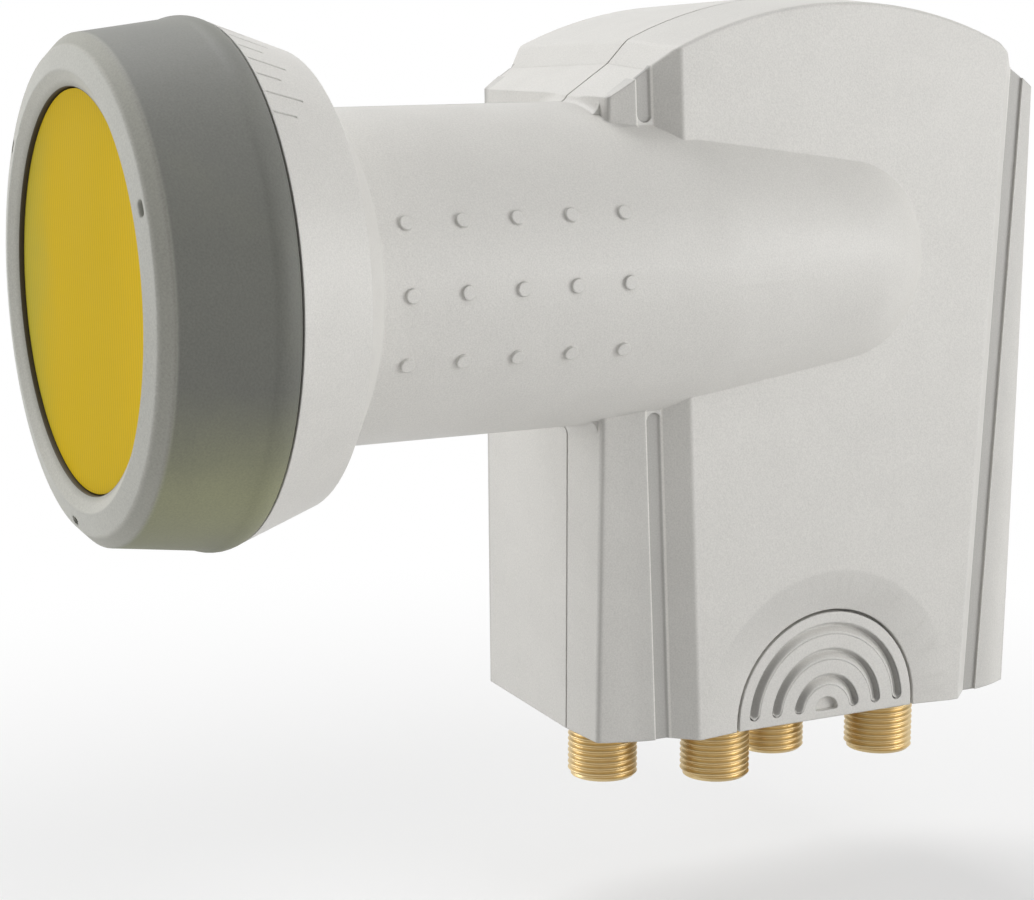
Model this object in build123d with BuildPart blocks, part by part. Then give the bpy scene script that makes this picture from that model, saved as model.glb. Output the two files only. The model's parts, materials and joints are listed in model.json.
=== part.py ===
# Satellite LNB with four F sockets and a weather sleeve that slides down over the plugs.
# Frame: +Z up, horn towards -Y, origin on the neck axis at the middle of the clamped neck.
# Millimetres throughout.
from math import asin, atan2, cos, degrees, radians, sin, sqrt, tan
import os

from build123d import *

os.makedirs("parts", exist_ok=True)

# Neck, the part that a dish's feed clamp grips
neck_diameter = 40.0
neck_length = 34.0
neck_wall = 2.4
neck_root_radius = 1.8
neck_root_dip = 0.2
pip_diameter = 1.7
pip_height = 0.35
pip_pitch = 7.0
pip_count = 5
pip_first = 3.4
pip_row_angle = 23.5

# Collar between neck and cap, with a graduation for the skew angle
collar_foot_length = 4.5
collar_edge_diameter = 53.8
collar_length = 9.3
collar_front_diameter = 60.4
spigot_diameter = 56.2
spigot_length = 4.0
spigot_wall = 1.2
tick_pitch = 5.75
tick_count = 17
tick_long = 5.0
tick_short = 3.2
tick_width = 0.25
tick_depth = 0.15
tick_margin = 0.2

# Cap over the mouth of the horn
cap_gap = 0.3
cap_length = 15.6
cap_rim_diameter = 60.6
cap_side_diameter = 60.7
cap_bead_rise = 0.4
cap_bead_length = 3.2
cap_bead_crest = 1.2
cap_shoulder_diameter = 58.0
cap_shoulder_depth = 2.1
cap_face_diameter = 55.0
cap_face_depth = 0.6
cap_ridge_diameter = 49.8
cap_wall = 1.5
cap_lip = 1.5
notch_count = 3
notch_angle = 25.5
notch_circle = 53.2
notch_length = 1.9
notch_width = 0.9
notch_depth = 0.9
window_diameter = 45.6
window_gap = 0.2
window_depth = 1.0
window_recess = 0.5
window_flange_diameter = 49.2
window_flange = 1.4

# Housing, symmetric about its own middle, which lies to the far side of the neck axis
body_offset = 8.4
body_depth = 64.5
body_base_width = 31.6
body_strip_width = 36.3
body_plate_width = 41.6
mould_draft = 3.0
body_drop = 59.8
shoulder_height = 20.9
shoulder_slope_run = 5.4
shoulder_slope_rise = 3.6
arch_height = 32.6
arch_radius = 58.0
arch_ramp_angle = 46.0
plate_front_half = 19.8
plate_front_flare = 2.6
plate_rear_half = 20.6
plate_rear_flare = 3.0
ramp_run = 2.75
strip_cove = 0.3
groove_width = 2.1
groove_depth = 0.35
groove_end_gap = 0.3
housing_wall = 2.2
edge_round = 0.6
arch_round = 0.7
arch_blend = 3.0
top_round = 0.5
shell_gap = 0.3

# Bullet-shaped swelling of the housing over the end of the waveguide
bullet_start = 11.0
bullet_length = 48.9
bullet_taper = 6.1
bullet_tip_flat = 1.5

# Weather sleeve and its thumb grips
sleeve_clearance = 0.3
sleeve_wall = 1.6
sleeve_height = 36.0
sleeve_front_gap = 3.4
sleeve_front_width = 27.2
sleeve_width = 37.0
sleeve_side_length = 38.5
grip_radius = 13.35
grip_centre_rise = 0.8
grip_height = 1.5
grip_gap = 0.4
grip_groove_count = 3
grip_groove_radius = 0.75
grip_groove_depth = 1.4
grip_first = 2.2
grip_pitch = 3.4
grip_end_rise = 1.0
grip_pocket_radius = 1.8
grip_pocket_corner = 0.4
grip_pocket_depth = 0.8
dish_width = 5.4
dish_depth = 0.8

# F sockets
socket_count = 4
socket_thread_diameter = 9.4
socket_protrusion = 11.1
socket_end_gap = 7.1
socket_stagger = 7.0
socket_relief = 0.5
socket_flange_flats = 11.0
socket_flange_height = 1.5
socket_spigot_diameter = 8.4
socket_bore_diameter = 5.9
socket_tip_chamfer = 0.4
socket_fit = 0.05
insulator_recess = 1.0
contact_diameter = 1.7
contact_recess = 0.6
contact_top = 4.0
contact_slot = 4.0
seal_thickness = 0.6

# Casting with horn, waveguide and board tray
horn_mouth_diameter = 45.2
horn_rim_gap = 0.6
horn_rim_thickness = 2.0
horn_barrel_diameter = 49.0
horn_steps = 4
horn_step_length = 5.0
tube_diameter = 25.0
tube_wall = 2.5
tube_depth = 36.0
tube_end_wall = 2.0
ring_width = 3.0
ring_clearance = 0.1
tray_front_gap = 6.5
tray_top = 16.0
tray_wall = 2.0
tray_near = 4.5
tray_floor = 6.0
floor_clearance = 0.8
tray_lift = 2.3
board_gap = 1.6
board_thickness = 1.0
gasket_thickness = 0.6
cover_height = 4.6
cover_wall = 1.6
cover_rim = 2.2
cover_gap = 0.3
chip_size = 4.0
chip_height = 1.0
chip_rows = 2
chip_columns = 3
chip_pitch = 13.0
probe_diameter = 1.2
probe_reach = 6.0
bush_diameter = 4.0
probe_first = 13.0
probe_spacing = 12.0
screw_diameter = 2.5
screw_head_diameter = 4.6
screw_head_height = 1.4
screw_length = 8.0
screw_boss_diameter = 6.0
screw_inset = 4.0
screw_low_inset = 12.0
screw_grip = 5.0
cap_seal_diameter = 47.8
cap_seal_width = 1.2
cap_seal_thickness = 1.0
cap_seal_fit = 0.05

# Stations worked out from the sizes above
body_x = -body_offset
y_front = neck_length / 2
y_rear = y_front + body_depth
y_middle = y_front + body_depth / 2
z_bottom = -body_drop
y_neck_front = -neck_length / 2
y_collar_edge = y_neck_front - collar_foot_length
y_collar_front = y_collar_edge - collar_length
y_cap_rear = y_collar_front - cap_gap
y_cap_front = y_cap_rear - cap_length
y_window = y_cap_front + window_depth
y_lip_back = y_window + cap_lip
y_horn_front = y_lip_back + window_flange
y_tray_front = y_front + tray_front_gap
y_tray_rear = y_rear - tray_front_gap
z_tray_bottom = z_bottom + tray_lift
z_floor_top = z_tray_bottom + tray_floor
z_socket_tip = z_bottom - socket_protrusion
board_plane = body_x - socket_stagger / 2 - board_gap
x_cover_face = board_plane - board_thickness - gasket_thickness
x_cover_outside = x_cover_face - cover_height
horn_rim_diameter = cap_shoulder_diameter - 2 * (cap_wall + horn_rim_gap)
tube_radius = tube_diameter / 2
bore_radius = tube_radius - tube_wall
y_tube_end = y_front + tube_depth
socket_row = body_depth - 2 * (sleeve_front_gap + sleeve_wall + socket_end_gap)
socket_pitch = socket_row / (socket_count - 1)
well_depth = sleeve_height
reach = body_drop + body_depth


def flare_slope(y_sign):
    """How fast the raised side plate widens upwards, at its front or its rear."""
    return tan(radians(plate_front_flare if y_sign < 0 else plate_rear_flare))


def side_half(y_sign, height):
    """Distance of the raised side plate's front or rear edge from the housing's middle, at a height."""
    foot = plate_front_half if y_sign < 0 else plate_rear_half
    return foot + (height - z_bottom) * flare_slope(y_sign)


def groove_line(y_sign, height):
    """Distance of a side groove's middle from the housing's middle, at a height."""
    return side_half(y_sign, height) + ramp_run + groove_width / 2


def groove_outline(y_sign, low, high, low_end, high_end):
    """Outline of one side groove between two heights, with round ends where asked.

    Call it inside a sketch.
    """
    half = groove_width / 2
    Polygon(
        (y_sign * (groove_line(y_sign, low) - half), low),
        (y_sign * (groove_line(y_sign, low) + half), low),
        (y_sign * (groove_line(y_sign, high) + half), high),
        (y_sign * (groove_line(y_sign, high) - half), high),
        align=None,
    )
    ends = [height for height, is_round in ((low, low_end), (high, high_end)) if is_round]
    for height in ends:
        with Locations((y_sign * groove_line(y_sign, height), height)):
            Circle(half)


def housing_half(x_sign, inset=0.0, hollow=False):
    """One half of the housing without its neck, every wall moved in by inset.

    Front, rear and top fall away from the parting plane with the draft of the mould.
    A hollow has no rounding and runs on below the rim.
    """
    floor = z_bottom - (well_depth if hollow else 0.0)
    height = arch_height - floor
    fall = tan(radians(mould_draft))
    front_half = body_depth / 2 - inset
    x_base = body_x + x_sign * (body_base_width / 2 - inset)
    x_strip = body_x + x_sign * (body_strip_width / 2 - inset)
    x_plate = body_x + x_sign * (body_plate_width / 2 - inset)
    ramp_angle = atan2(body_plate_width - body_strip_width, 2 * ramp_run)
    ramp_shift = inset * tan(ramp_angle / 2)
    shoulder_slope = shoulder_slope_rise / shoulder_slope_run
    slope_drop = inset * sqrt(1 + shoulder_slope**2)
    arch_drop = inset / cos(radians(arch_ramp_angle))
    shoulder_top = shoulder_height + shoulder_slope_rise
    plan = Plane((0, y_middle, floor))
    side_view = Plane((0, y_middle, 0), x_dir=(0, 1, 0), z_dir=(1, 0, 0))
    outward = (x_sign, 0, -fall)

    with BuildPart() as base:
        with BuildSketch(plan):
            with BuildLine():
                end = front_half - abs(x_strip) * fall
                Polyline((0, -front_half), (x_strip, -end), (x_strip, end), (0, front_half), close=True)
            make_face()
        extrude(amount=height)
        with BuildSketch(side_view):
            with BuildLine():
                Polyline(
                    (0, -reach),
                    (-front_half, -reach),
                    (-front_half, shoulder_height - slope_drop + inset * shoulder_slope),
                    (shoulder_slope_run - body_depth / 2, shoulder_top - slope_drop),
                    (0, shoulder_top - slope_drop),
                )
                mirror(about=Plane.YZ)
            profile = make_face()
            if not hollow:
                bends = [v for v in profile.vertices() if v.Y > 0 and abs(v.X) > shoulder_slope_run]
                fillet(bends, edge_round)
        extrude(amount=reach, dir=outward, mode=Mode.INTERSECT)
        for y_sign in (-1, 1):
            flare = flare_slope(y_sign)
            corner_y = front_half - abs(x_base) * fall + (floor - z_bottom) * flare
            corner = Vector(x_base, y_sign * corner_y)
            foot = Vector(x_strip, y_sign * (groove_line(y_sign, floor) + groove_width / 2))
            ahead = corner * 2 - foot
            x_out = x_strip + x_sign * ramp_run
            with BuildSketch(plan):
                with BuildLine():
                    SagittaArc(corner, foot, x_sign * y_sign * strip_cove)
                    Polyline(foot, (x_out, foot.Y), (x_out, ahead.Y), ahead, corner)
                make_face()
            extrude(amount=2 * height, dir=(0, y_sign * flare, 1), mode=Mode.SUBTRACT)
        if not hollow:
            corners = []
            for edge in base.edges():
                points = (edge @ 0, edge @ 1)
                ends = [abs(abs(p.Y - y_middle) - front_half + abs(p.X) * fall) for p in points]
                upright = abs(points[1].Z - points[0].Z) > shoulder_height
                if max(ends) < edge_round / 10 and upright and abs(edge.center().X) > edge_round:
                    corners.append(edge)
            fillet(corners, edge_round)
            for y_sign in (-1, 1):
                hit = sqrt(max((neck_diameter / 2) ** 2 - x_strip**2, 0)) if y_sign < 0 else 0
                stop = hit + groove_end_gap + groove_width / 2
                with BuildSketch(Plane((x_strip, y_middle, 0), x_dir=(0, 1, 0), z_dir=(1, 0, 0))):
                    if hit:
                        groove_outline(y_sign, z_bottom - edge_round, -stop, False, True)
                        groove_outline(y_sign, stop, arch_height, True, False)
                    else:
                        groove_outline(y_sign, z_bottom - edge_round, arch_height, False, False)
                extrude(amount=groove_depth, both=True, mode=Mode.SUBTRACT)

    with BuildPart() as band:
        with BuildSketch(plan):
            with Locations((x_plate / 2, 0)):
                Rectangle(abs(x_plate), body_depth)
        extrude(amount=height)
        for y_sign in (-1, 1):
            edge = (x_plate, y_middle + y_sign * (side_half(y_sign, 0) - ramp_shift), 0)
            lean = y_sign * sin(ramp_angle) * flare_slope(y_sign)
            ramp = Plane(edge, z_dir=(x_sign * cos(ramp_angle), y_sign * sin(ramp_angle), -y_sign * lean))
            split(bisect_by=ramp, keep=Keep.BOTTOM)
        with BuildSketch(side_view) as arch_view:
            with BuildLine():
                ramp_foot = shoulder_slope_run - body_depth / 2
                ramp_top = shoulder_top - arch_drop + 2 * shoulder_slope_run * tan(radians(arch_ramp_angle))
                Polyline(
                    (0, -reach),
                    (ramp_foot, -reach),
                    (ramp_foot, shoulder_top - arch_drop),
                    (ramp_foot + 2 * shoulder_slope_run, ramp_top),
                    (0, ramp_top),
                )
                mirror(about=Plane.YZ)
            make_face()
            with Locations((0, arch_height - arch_radius)):
                Circle(arch_radius - inset, mode=Mode.INTERSECT)
            if not hollow:
                bends = [v for v in arch_view.vertices() if v.Y > shoulder_top + arch_round]
                fillet(bends, arch_blend)
        extrude(amount=reach, dir=outward, mode=Mode.INTERSECT)
        if not hollow:
            rim = [edge for edge in band.edges() if abs(edge.center().X - x_plate) < arch_round / 10]
            fillet([edge for edge in rim if abs((edge @ 1).Z - (edge @ 0).Z) > shoulder_height], arch_round)
            rim = [edge for edge in band.edges() if abs(edge.center().X - x_plate) < arch_round / 10]
            fillet([edge for edge in rim if edge.center().Z > shoulder_height], top_round)
        add(base.part)
    return band.part


def housing_block(inset=0.0, hollow=False):
    """Both halves of the housing as one solid."""
    with BuildPart() as block:
        for x_sign in (-1, 1):
            add(housing_half(x_sign, inset, hollow))
    return block.part


def horn_side(inset=0.0, hollow=False):
    """Neck, collar and bullet as one turned solid round the neck axis, every wall moved in by inset."""
    neck = neck_diameter / 2 - inset
    taper = radians(bullet_taper)
    y_taper = y_front + bullet_start
    y_end = y_front + bullet_length
    fall = (y_end - y_taper) * tan(taper)
    dome_radius = (neck_diameter / 2 - bullet_tip_flat - fall) / (cos(taper) - tan(taper) * (1 - sin(taper)))
    dome_y = y_end - dome_radius
    dome = dome_radius - inset
    spigot = spigot_diameter / 2
    y_spigot = y_collar_front - spigot_length
    if hollow:
        spigot -= spigot_wall
        collar = [
            (0, y_spigot - spigot_length),
            (spigot, y_spigot - spigot_length),
            (spigot, y_collar_front),
            (collar_edge_diameter / 2 - inset, y_collar_edge),
        ]
    else:
        collar = [
            (0, y_spigot),
            (spigot, y_spigot),
            (spigot, y_collar_front),
            (collar_front_diameter / 2, y_collar_front),
            (collar_edge_diameter / 2, y_collar_edge),
        ]
    with BuildPart() as turned:
        with BuildSketch(Plane.XY):
            with BuildLine():
                taper_start = (neck, y_taper - inset * tan(taper / 2))
                angles = (taper, (taper + radians(90)) / 2, radians(90))
                dome_points = [(bullet_tip_flat + dome * cos(a), dome_y + dome * sin(a)) for a in angles]
                Polyline(*collar, (neck, y_neck_front), taper_start, dome_points[0])
                ThreePointArc(*dome_points)
                Polyline(dome_points[-1], (0, dome_y + dome), collar[0])
            make_face()
        revolve(axis=Axis.Y)
    return turned.part


def neck_root(x_sign):
    """Hollow rounding where the neck leaves one half of the front wall, within the outline of that wall.

    Its foot dips into the neck, so that the two surfaces cross and don't only touch.
    """
    radius = neck_diameter / 2 - neck_root_dip
    root = neck_root_radius
    draft = radians(mould_draft)
    slope = shoulder_slope_rise / shoulder_slope_run
    wall = Plane((0, y_front, 0), x_dir=(cos(draft), x_sign * sin(draft), 0), z_dir=(0, 0, 1))
    with BuildPart() as ring:
        with BuildSketch(wall):
            with BuildLine():
                bend = root * (1 - cos(radians(45)))
                ThreePointArc((radius, -root), (radius + bend, -bend), (radius + root, 0))
                Polyline(
                    (radius + root, 0),
                    (radius + root, root),
                    (radius - root, root),
                    (radius - root, -root),
                    (radius, -root),
                )
            make_face()
        revolve(axis=Axis(wall.origin, wall.y_dir))
        with BuildSketch(Plane((0, y_front, 0), x_dir=(0, 1, 0), z_dir=(1, 0, 0))):
            with BuildLine():
                Polyline(
                    (-2 * root, -reach),
                    (-2 * root, shoulder_height - 2 * root * slope),
                    (2 * root, shoulder_height + 2 * root * slope),
                    (2 * root, -reach),
                    close=True,
                )
            make_face()
        width = abs(body_x + x_sign * body_base_width / 2) - edge_round / 2
        extrude(amount=width / cos(draft), dir=(x_sign, 0, -tan(draft)), mode=Mode.INTERSECT)
    return ring.part


def sleeve_outline(grow):
    """Plan of the weather sleeve, grown all round: the corners of one quarter about the housing's middle."""
    front = body_depth / 2 - sleeve_front_gap + grow
    chamfer_angle = atan2(sleeve_width - sleeve_front_width, 2 * front - sleeve_side_length)
    front_half = sleeve_front_width / 2 + grow * tan(radians(45) - chamfer_angle / 2)
    side = sleeve_side_length / 2 + grow * tan(chamfer_angle / 2)
    return [(0, -front), (front_half, -front), (sleeve_width / 2 + grow, -side), (sleeve_width / 2 + grow, 0)]


def grip_plane(x_sign):
    """Plane on a sleeve side at the centre of the thumb grip, facing out."""
    centre = (body_x + x_sign * sleeve_width / 2, y_middle, z_bottom + grip_centre_rise)
    return Plane(centre, x_dir=(0, x_sign, 0), z_dir=(x_sign, 0, 0))


def grip_section(x_sign):
    """Level plane through a grip's axis, radius along its x and height outwards."""
    return Plane(grip_plane(x_sign).origin, x_dir=(0, 1, 0), z_dir=(0, 0, -x_sign))


def round_the_neck(radius, station, angle):
    """Plane on a turned surface at an angle from +X towards +Z, facing out."""
    out = (cos(radians(angle)), 0, sin(radians(angle)))
    return Plane((radius * out[0], station, radius * out[2]), x_dir=(0, 1, 0), z_dir=out)


# Outer form of the whole housing, before it is hollowed and halved
with BuildPart() as housing:
    add(housing_block())
    add(horn_side())
    for x_sign in (-1, 1):
        add(neck_root(x_sign))
    pip_angles = [turn + step * pip_row_angle for turn in (0, 180) for step in (-1, 0, 1)]
    pip_stations = [y_neck_front + pip_first + step * pip_pitch for step in range(pip_count)]
    pip_places = [round_the_neck(neck_diameter / 2, y, angle) for y in pip_stations for angle in pip_angles]
    with Locations(*pip_places):
        Cylinder(pip_diameter / 2, 2 * pip_height)
    for step in range(tick_count):
        count = step - tick_count // 2
        length = tick_long if count % 2 else tick_short
        station = y_collar_front + tick_margin + length / 2
        lean = (collar_front_diameter - collar_edge_diameter) / 2 / collar_length
        radius = collar_front_diameter / 2 - lean * (station - y_collar_front)
        angle = radians(90 + count * tick_pitch)
        out = (cos(angle), lean, sin(angle))
        along = (-lean * cos(angle), 1, -lean * sin(angle))
        with Locations(Plane((radius * cos(angle), station, radius * sin(angle)), x_dir=along, z_dir=out)):
            Box(length, tick_width, 2 * tick_depth, mode=Mode.SUBTRACT)
    for x_sign in (-1, 1):
        with BuildSketch(grip_section(x_sign)):
            with BuildLine():
                hole = grip_radius + grip_gap
                face = (body_plate_width - sleeve_width) / 2
                rim = hole + dish_width
                floor = face - dish_depth
                Polyline((0, face), (rim, face), (hole, floor), (0, floor), close=True)
            make_face()
        revolve(axis=Axis(grip_plane(x_sign).origin, (1, 0, 0)), mode=Mode.SUBTRACT)

# Space inside the housing, with the channel that the sleeve slides in and the openings for its grips
with BuildPart() as hollow:
    add(housing_block(housing_wall, hollow=True))
    add(horn_side(neck_wall, hollow=True))
    with BuildSketch(Plane((body_x, y_middle, z_bottom - well_depth))):
        with BuildLine():
            Polyline(*sleeve_outline(sleeve_clearance))
            mirror(about=Plane.XZ)
            mirror(about=Plane.YZ)
        make_face()
    extrude(amount=well_depth + sleeve_height + sleeve_clearance)
    for x_sign in (-1, 1):
        with BuildSketch(grip_plane(x_sign)):
            Circle(grip_radius + grip_gap)
            with Locations((0, -well_depth / 2)):
                Rectangle(2 * (grip_radius + grip_gap), well_depth)
        extrude(amount=body_plate_width - sleeve_width, both=True)

with BuildPart() as right_shell:
    add(housing.part)
    add(hollow.part, mode=Mode.SUBTRACT)
    split(bisect_by=Plane.YZ.offset(shell_gap / 2), keep=Keep.TOP)
right_shell.part.label = "right_shell"
export_step(right_shell.part, "parts/right_shell.step")

with BuildPart() as left_shell:
    add(housing.part)
    add(hollow.part, mode=Mode.SUBTRACT)
    split(bisect_by=Plane.YZ.offset(-shell_gap / 2), keep=Keep.BOTTOM)
left_shell.part.label = "left_shell"
export_step(left_shell.part, "parts/left_shell.step")

with BuildPart() as weather_sleeve:
    for grow, mode in ((0.0, Mode.ADD), (-sleeve_wall, Mode.SUBTRACT)):
        with BuildSketch(Plane((body_x, y_middle, z_bottom))):
            with BuildLine():
                Polyline(*sleeve_outline(grow))
                mirror(about=Plane.XZ)
                mirror(about=Plane.YZ)
            make_face()
        extrude(amount=sleeve_height, mode=mode)
    for x_sign in (-1, 1):
        with BuildSketch(grip_plane(x_sign)):
            Circle(grip_radius)
            with Locations((0, -grip_centre_rise)):
                Rectangle(2 * grip_radius, reach, align=(Align.CENTER, Align.MIN), mode=Mode.INTERSECT)
        extrude(amount=grip_height)
        with BuildSketch(grip_plane(x_sign).offset(grip_height)):
            for step in range(grip_groove_count):
                radius = grip_radius - grip_first - step * grip_pitch
                start = degrees(asin(grip_end_rise / radius))
                arc = Edge.make_circle(radius, start_angle=start, end_angle=180 - start)
                SlotArc(arc, 2 * grip_groove_radius)
        extrude(amount=-grip_groove_depth, mode=Mode.SUBTRACT)
        with BuildSketch(grip_plane(x_sign).offset(grip_height)) as pocket:
            with Locations((0, grip_end_rise - grip_groove_radius)):
                Circle(grip_pocket_radius)
                upper = (Align.CENTER, Align.MIN)
                Rectangle(2 * grip_pocket_radius, grip_pocket_radius, align=upper, mode=Mode.INTERSECT)
            fillet(pocket.vertices(), grip_pocket_corner)
        extrude(amount=-grip_pocket_depth, mode=Mode.SUBTRACT)
weather_sleeve.part.label = "weather_sleeve"
export_step(weather_sleeve.part, "parts/weather_sleeve.step")

with BuildPart() as cap_ring:
    with BuildSketch(Plane.XY):
        with BuildLine():
            hole = window_diameter / 2 + window_gap
            rim = cap_rim_diameter / 2
            bead_start = (cap_side_diameter / 2, y_cap_rear - cap_bead_length)
            bead_crest = (rim + cap_bead_rise, y_cap_rear - cap_bead_crest)
            Polyline(
                (hole, y_window),
                (cap_ridge_diameter / 2, y_cap_front),
                (cap_face_diameter / 2, y_cap_front + cap_face_depth),
                (cap_shoulder_diameter / 2, y_cap_front + cap_shoulder_depth),
                bead_start,
            )
            ThreePointArc(bead_start, bead_crest, (rim, y_cap_rear))
            Polyline(
                (rim, y_cap_rear),
                (rim - cap_wall, y_cap_rear),
                (cap_shoulder_diameter / 2 - cap_wall, y_lip_back),
                (hole, y_lip_back),
                (hole, y_window),
            )
        make_face()
    revolve(axis=Axis.Y)
    for step in range(notch_count):
        angle = radians(notch_angle + step * 360 / notch_count)
        radius = notch_circle / 2
        place = (radius * cos(angle), y_cap_front, radius * sin(angle))
        with BuildSketch(Plane(place, x_dir=(-sin(angle), 0, cos(angle)), z_dir=(0, 1, 0))):
            SlotOverall(notch_length, notch_width)
        extrude(amount=notch_depth, mode=Mode.SUBTRACT)
cap_ring.part.label = "cap_ring"
export_step(cap_ring.part, "parts/cap_ring.step")

with BuildPart() as feed_window:
    with BuildSketch(Plane.XZ.offset(-y_horn_front)):
        Circle(window_flange_diameter / 2)
    extrude(amount=window_flange)
    with BuildSketch(Plane.XZ.offset(-y_lip_back)):
        Circle(window_diameter / 2)
    extrude(amount=cap_lip - window_recess)
feed_window.part.label = "feed_window"
export_step(feed_window.part, "parts/feed_window.step")

with BuildPart() as cap_seal:
    with BuildSketch(Plane.XZ.offset(-y_horn_front - cap_seal_thickness)):
        Circle(cap_seal_diameter / 2 + cap_seal_width / 2)
        Circle(cap_seal_diameter / 2 - cap_seal_width / 2, mode=Mode.SUBTRACT)
    extrude(amount=cap_seal_thickness)
cap_seal.part.label = "cap_seal"
export_step(cap_seal.part, "parts/cap_seal.step")

# Places shared by the inside pieces
socket_places = [
    (body_x + (-1) ** (step + 1) * socket_stagger / 2, y_middle + step * socket_pitch - socket_row / 2)
    for step in range(socket_count)
]
y_probe_flat = y_front + probe_first
y_probe_upright = y_probe_flat + probe_spacing
z_upright_leg = (tube_radius + tray_top - tray_wall) / 2
screw_columns = (y_tray_front + screw_inset, y_middle, y_tray_rear - screw_inset)
screw_places = [(y, tray_top - screw_inset) for y in screw_columns]
screw_places += [(y, z_floor_top + screw_low_inset) for y in screw_columns[::2]]
screw_places.append((y_middle, z_floor_top + screw_inset))


beyond = (Align.CENTER, Align.CENTER, Align.MAX)


def across(y, z, x):
    """Plane across the casting at a point, its normal towards the lid."""
    return Plane((x, y, z), x_dir=(0, 1, 0), z_dir=(-1, 0, 0))


with BuildPart() as waveguide_chassis:
    with BuildSketch(Plane.XY):
        with BuildLine():
            barrel = horn_barrel_diameter / 2
            y_rim = y_horn_front + horn_rim_thickness
            y_throat = y_horn_front + horn_steps * horn_step_length
            Polyline(
                (0, y_horn_front),
                (horn_rim_diameter / 2, y_horn_front),
                (horn_rim_diameter / 2, y_rim),
                (barrel, y_rim),
                (barrel, y_horn_front + 2 * horn_step_length),
                (tube_radius, y_throat + tube_wall),
                (tube_radius, y_tube_end),
                (0, y_tube_end),
                close=True,
            )
        make_face()
    revolve(axis=Axis.Y)
    for station in (y_neck_front + ring_width, y_front - 2 * ring_width):
        with BuildSketch(Plane.XZ.offset(-station - ring_width)):
            Circle(neck_diameter / 2 - neck_wall - ring_clearance)
        extrude(amount=ring_width)
    tray_length = y_tray_rear - y_tray_front
    tray_height = tray_top - z_tray_bottom
    with BuildSketch(Plane.YZ.offset(board_plane)):
        with Locations((y_middle, z_tray_bottom + tray_height / 2)):
            Rectangle(tray_length, tray_height)
    extrude(amount=tray_wall)
    with BuildSketch(Plane.YZ.offset(board_plane)):
        with Locations((y_middle, z_tray_bottom + tray_height / 2)):
            Rectangle(tray_length, tray_height)
            Rectangle(tray_length - 2 * tray_wall, tray_height - 2 * tray_wall, mode=Mode.SUBTRACT)
    extrude(amount=tray_near - board_plane)
    with BuildSketch(Plane((body_x, y_middle, z_tray_bottom))):
        with BuildLine():
            Polyline(*sleeve_outline(-sleeve_wall - floor_clearance))
            mirror(about=Plane.XZ)
            mirror(about=Plane.YZ)
        make_face()
    extrude(amount=tray_floor)
    with Locations(*[across(y, z, board_plane + tray_wall) for y, z in screw_places]):
        Cylinder(screw_boss_diameter / 2, screw_length, align=beyond)
    with BuildSketch(Plane.XY):
        with BuildLine():
            mouth = horn_mouth_diameter / 2
            fall = (mouth - bore_radius) / horn_steps
            stairs = [(0, y_horn_front)]
            for step in range(horn_steps):
                stairs.append((mouth - step * fall, y_horn_front + step * horn_step_length))
                stairs.append((mouth - step * fall, y_horn_front + (step + 1) * horn_step_length))
            stairs.append((bore_radius, y_throat))
            stairs.append((bore_radius, y_tube_end - tube_end_wall))
            stairs.append((0, y_tube_end - tube_end_wall))
            Polyline(*stairs, close=True)
        make_face()
    revolve(axis=Axis.Y, mode=Mode.SUBTRACT)
    with BuildSketch(Plane.XZ.offset(-y_horn_front)):
        Circle(cap_seal_diameter / 2 + cap_seal_width / 2 + cap_seal_fit)
        Circle(cap_seal_diameter / 2 - cap_seal_width / 2 - cap_seal_fit, mode=Mode.SUBTRACT)
    extrude(amount=-cap_seal_thickness, mode=Mode.SUBTRACT)
    with BuildSketch(Plane.XY.offset(z_tray_bottom)):
        with Locations(*socket_places):
            Circle(socket_spigot_diameter / 2 + socket_fit)
    extrude(amount=tray_floor, mode=Mode.SUBTRACT)
    with Locations(*[across(y, z, board_plane) for y, z in screw_places]):
        Cylinder(screw_diameter / 2 + socket_fit, screw_length, align=beyond, mode=Mode.SUBTRACT)
    with Locations(across(y_probe_flat, 0, board_plane)):
        Cylinder(bush_diameter / 2, -board_plane - bore_radius / 2, align=beyond, mode=Mode.SUBTRACT)
    with Locations(across(y_probe_upright, z_upright_leg, board_plane)):
        Cylinder(bush_diameter / 2, tray_wall, align=beyond, mode=Mode.SUBTRACT)
    with Locations((0, y_probe_upright, tube_radius)):
        Cylinder(bush_diameter / 2, tube_radius, align=beyond, mode=Mode.SUBTRACT)
    with BuildSketch(Plane.YZ.offset(board_plane)):
        with Locations(*[(y, z_floor_top) for x, y in socket_places]):
            Rectangle(contact_slot, contact_top + contact_slot / 2, align=(Align.CENTER, Align.MIN))
    extrude(amount=tray_wall, mode=Mode.SUBTRACT)
waveguide_chassis.part.label = "waveguide_chassis"
export_step(waveguide_chassis.part, "parts/waveguide_chassis.step")

with BuildPart() as circuit_board:
    z_board_low = z_floor_top + cover_gap
    with BuildSketch(Plane.YZ.offset(board_plane - board_thickness)):
        with Locations((y_middle, (tray_top + z_board_low) / 2)):
            Rectangle(tray_length - 2 * cover_gap, tray_top - z_board_low)
        with Locations(*screw_places):
            Circle(screw_diameter / 2 + socket_fit, mode=Mode.SUBTRACT)
        with Locations((y_probe_flat, 0), (y_probe_upright, z_upright_leg)):
            Circle(probe_diameter / 2 + socket_fit, mode=Mode.SUBTRACT)
    extrude(amount=board_thickness)
circuit_board.part.label = "circuit_board"
export_step(circuit_board.part, "parts/circuit_board.step")


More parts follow.
